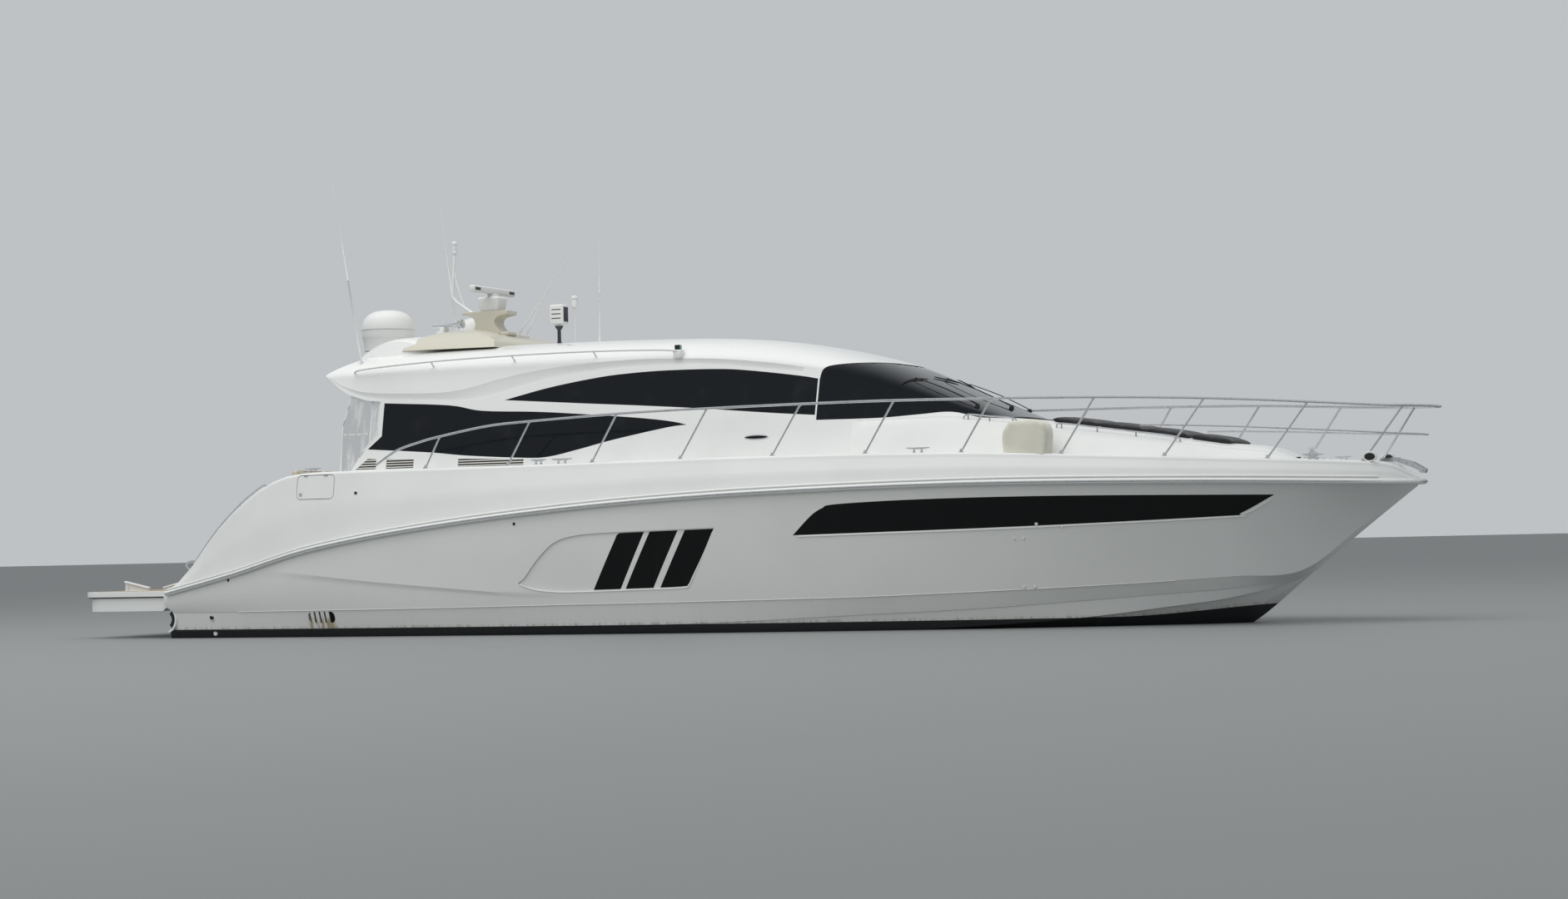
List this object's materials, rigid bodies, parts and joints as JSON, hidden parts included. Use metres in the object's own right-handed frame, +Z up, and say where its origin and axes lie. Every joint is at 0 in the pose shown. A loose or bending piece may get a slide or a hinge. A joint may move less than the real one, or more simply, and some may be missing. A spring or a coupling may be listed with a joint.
{
  "type": "hardtop motor yacht",
  "caption": "White hardtop motor yacht afloat, with wraparound dark glass, radar arch, guard rails, lifting swim platform, pod drives, opening hatches and a hollow cabin.",
  "frame": {"origin": "on the waterline, on the centreline, at the foot of the transom", "axes": "+X towards the bow, +Y to port, +Z up"},
  "size_m": [18.3758, 4.9956, 7.481],
  "materials": {
    "hull_gelcoat": "white gelcoat, black antifouling below the boot line",
    "gelcoat": "glossy white gelcoat",
    "beige_gelcoat": "warm beige moulding",
    "dark_glass": "dark tinted bonded glass",
    "stainless": "polished stainless steel",
    "dark_metal": "dark painted metal",
    "drive_bronze": "antifouled drive casing",
    "bronze": "cast propeller bronze",
    "dark_trim": "dark grained trim",
    "dark_fabric": "dark woven deck cushion",
    "beige_fabric": "beige upholstery",
    "clear_vinyl": "clear curtain vinyl"
  },
  "bodies": {
    "boat": {"hull": "hull_gelcoat", "deck": "gelcoat", "rub_rail": "gelcoat", "house": "gelcoat", "hardtop": "gelcoat", "hull_window_starboard": "dark_glass", "hull_window_port": "dark_glass", "hull_panes_starboard": "dark_glass", "hull_panes_port": "dark_glass", "windshield": "dark_glass", "side_glass_upper_starboard": "dark_glass", "side_glass_upper_port": "dark_glass", "side_glass_lower_starboard": "dark_glass", "side_glass_lower_port": "dark_glass", "radar_arch": "beige_gelcoat", "satellite_dome": "gelcoat", "small_dome": "gelcoat", "radar_pedestal": "beige_gelcoat", "light_mast": "gelcoat", "horns": "stainless", "whip_antenna_starboard": "gelcoat", "whip_antenna_port": "gelcoat", "roof_antenna": "gelcoat", "rod_antennas": "gelcoat", "roof_sensors": "gelcoat", "roof_handrail_starboard": "gelcoat", "roof_handrail_port": "gelcoat", "guard_rail_starboard": "stainless", "guard_rail_port": "stainless", "windlass": "stainless", "sun_pad": "dark_fabric", "side_deck_cover": "beige_fabric", "cockpit_settee": "beige_fabric", "salon_settee": "beige_fabric", "vinyl_curtain_starboard": "clear_vinyl", "vinyl_curtain_port": "clear_vinyl", "helm_console": "dark_trim", "helm_seat": "beige_fabric"},
    "radar": {"radar_scanner": "gelcoat"},
    "salon_door": {"salon_door": "dark_glass"},
    "platform_arms": {"platform_arms": "dark_metal"},
    "swim_platform": {"swim_platform": "gelcoat"},
    "transom_door": {"transom_door": "gelcoat"},
    "engine_hatch": {"engine_hatch": "gelcoat"},
    "deck_hatch": {"deck_hatch": "dark_glass"},
    "bow_locker_lid": {"bow_locker_lid": "gelcoat"},
    "quarter_door_starboard": {"quarter_door_starboard": "gelcoat"},
    "quarter_door_port": {"quarter_door_port": "gelcoat"},
    "stair_gate_starboard": {"stair_gate_starboard": "gelcoat"},
    "stair_gate_port": {"stair_gate_port": "gelcoat"},
    "steering_wheel": {"steering_wheel": "dark_trim"},
    "pod_starboard": {"pod_starboard": "drive_bronze"},
    "pod_port": {"pod_port": "drive_bronze"},
    "propeller_front_starboard": {"propeller_front_starboard": "bronze"},
    "propeller_rear_starboard": {"propeller_rear_starboard": "bronze"},
    "propeller_front_port": {"propeller_front_port": "bronze"},
    "propeller_rear_port": {"propeller_rear_port": "bronze"},
    "trim_tab_starboard": {"trim_tab_starboard": "stainless"},
    "trim_tab_port": {"trim_tab_port": "stainless"}
  },
  "joints": [
    {"name": "radar_spin", "type": "hinge", "parent": "boat", "child": "radar", "pos_m": [3.96, 0, 4.6], "axis": [0, 0, 1], "continuous": true},
    {"name": "salon_door_slide", "type": "slide", "parent": "boat", "child": "salon_door", "axis": [0, 1, 0], "range_m": [0, 0.78]},
    {"name": "platform_lift", "type": "hinge", "parent": "boat", "child": "platform_arms", "pos_m": [-0.06, 0, -0.4], "axis": [0, -1, 0], "range_deg": [0, 50]},
    {"name": "platform_level", "type": "hinge", "parent": "platform_arms", "child": "swim_platform", "pos_m": [-0.55, 0, 0.3], "axis": [0, -1, 0], "range_deg": [-50, 0]},
    {"name": "transom_door_hinge", "type": "hinge", "parent": "boat", "child": "transom_door", "pos_m": [1, 0, 1.56], "axis": [0, 1, 0], "range_deg": [0, 80]},
    {"name": "engine_hatch_hinge", "type": "hinge", "parent": "boat", "child": "engine_hatch", "pos_m": [3.12, 0, 1.52], "axis": [0, 1, 0], "range_deg": [0, 80]},
    {"name": "deck_hatch_hinge", "type": "hinge", "parent": "boat", "child": "deck_hatch", "pos_m": [12.14, 0, 2.567], "axis": [0, 1, 0], "range_deg": [0, 75]},
    {"name": "bow_locker_hinge", "type": "hinge", "parent": "boat", "child": "bow_locker_lid", "pos_m": [15.42, 0, 1.992], "axis": [0, -1, 0], "range_deg": [0, 80]},
    {"name": "quarter_door_starboard_hinge", "type": "hinge", "parent": "boat", "child": "quarter_door_starboard", "pos_m": [2.765, -2.32, 1.985], "axis": [0, 0, 1], "range_deg": [0, 100]},
    {"name": "quarter_door_port_hinge", "type": "hinge", "parent": "boat", "child": "quarter_door_port", "pos_m": [2.765, 2.32, 1.985], "axis": [0, 0, -1], "range_deg": [0, 100]},
    {"name": "stair_gate_starboard_hinge", "type": "hinge", "parent": "boat", "child": "stair_gate_starboard", "pos_m": [1.3, -1.675, 1.74], "axis": [0, 0, -1], "range_deg": [0, 90]},
    {"name": "stair_gate_port_hinge", "type": "hinge", "parent": "boat", "child": "stair_gate_port", "pos_m": [1.3, 1.675, 1.74], "axis": [0, 0, 1], "range_deg": [0, 90]},
    {"name": "steering_wheel_turn", "type": "hinge", "parent": "boat", "child": "steering_wheel", "pos_m": [9.14, -0.9, 2.29], "axis": [-0.8829, 0, 0.4695], "range_deg": [-540, 540]},
    {"name": "pod_starboard_steer", "type": "hinge", "parent": "boat", "child": "pod_starboard", "pos_m": [2.1, -0.9, -0.65], "axis": [0, 0, 1], "range_deg": [-17, 45]},
    {"name": "pod_port_steer", "type": "hinge", "parent": "boat", "child": "pod_port", "pos_m": [2.1, 0.9, -0.65], "axis": [0, 0, 1], "range_deg": [-45, 17]},
    {"name": "propeller_front_starboard_spin", "type": "hinge", "parent": "pod_starboard", "child": "propeller_front_starboard", "pos_m": [1.5, -0.9, -1.13], "axis": [1, 0, 0], "continuous": true},
    {"name": "propeller_rear_starboard_spin", "type": "hinge", "parent": "pod_starboard", "child": "propeller_rear_starboard", "pos_m": [1.372, -0.9, -1.13], "axis": [1, 0, 0], "continuous": true},
    {"name": "propeller_front_port_spin", "type": "hinge", "parent": "pod_port", "child": "propeller_front_port", "pos_m": [1.5, 0.9, -1.13], "axis": [1, 0, 0], "continuous": true},
    {"name": "propeller_rear_port_spin", "type": "hinge", "parent": "pod_port", "child": "propeller_rear_port", "pos_m": [1.372, 0.9, -1.13], "axis": [1, 0, 0], "continuous": true},
    {"name": "trim_tab_starboard_hinge", "type": "hinge", "parent": "boat", "child": "trim_tab_starboard", "pos_m": [-0.012, -1.37806, -0.27239], "axis": [0, -0.9239, 0.3827], "range_deg": [0, 20]},
    {"name": "trim_tab_port_hinge", "type": "hinge", "parent": "boat", "child": "trim_tab_port", "pos_m": [-0.012, 1.37806, -0.27239], "axis": [0, -0.9239, -0.3827], "range_deg": [0, 20]}
  ],
  "couplings": [
    {"joint": "platform_level", "follows": "platform_lift", "ratio": -1},
    {"joint": "propeller_rear_starboard_spin", "follows": "propeller_front_starboard_spin", "ratio": -1},
    {"joint": "propeller_rear_port_spin", "follows": "propeller_front_port_spin", "ratio": -1}
  ]
}
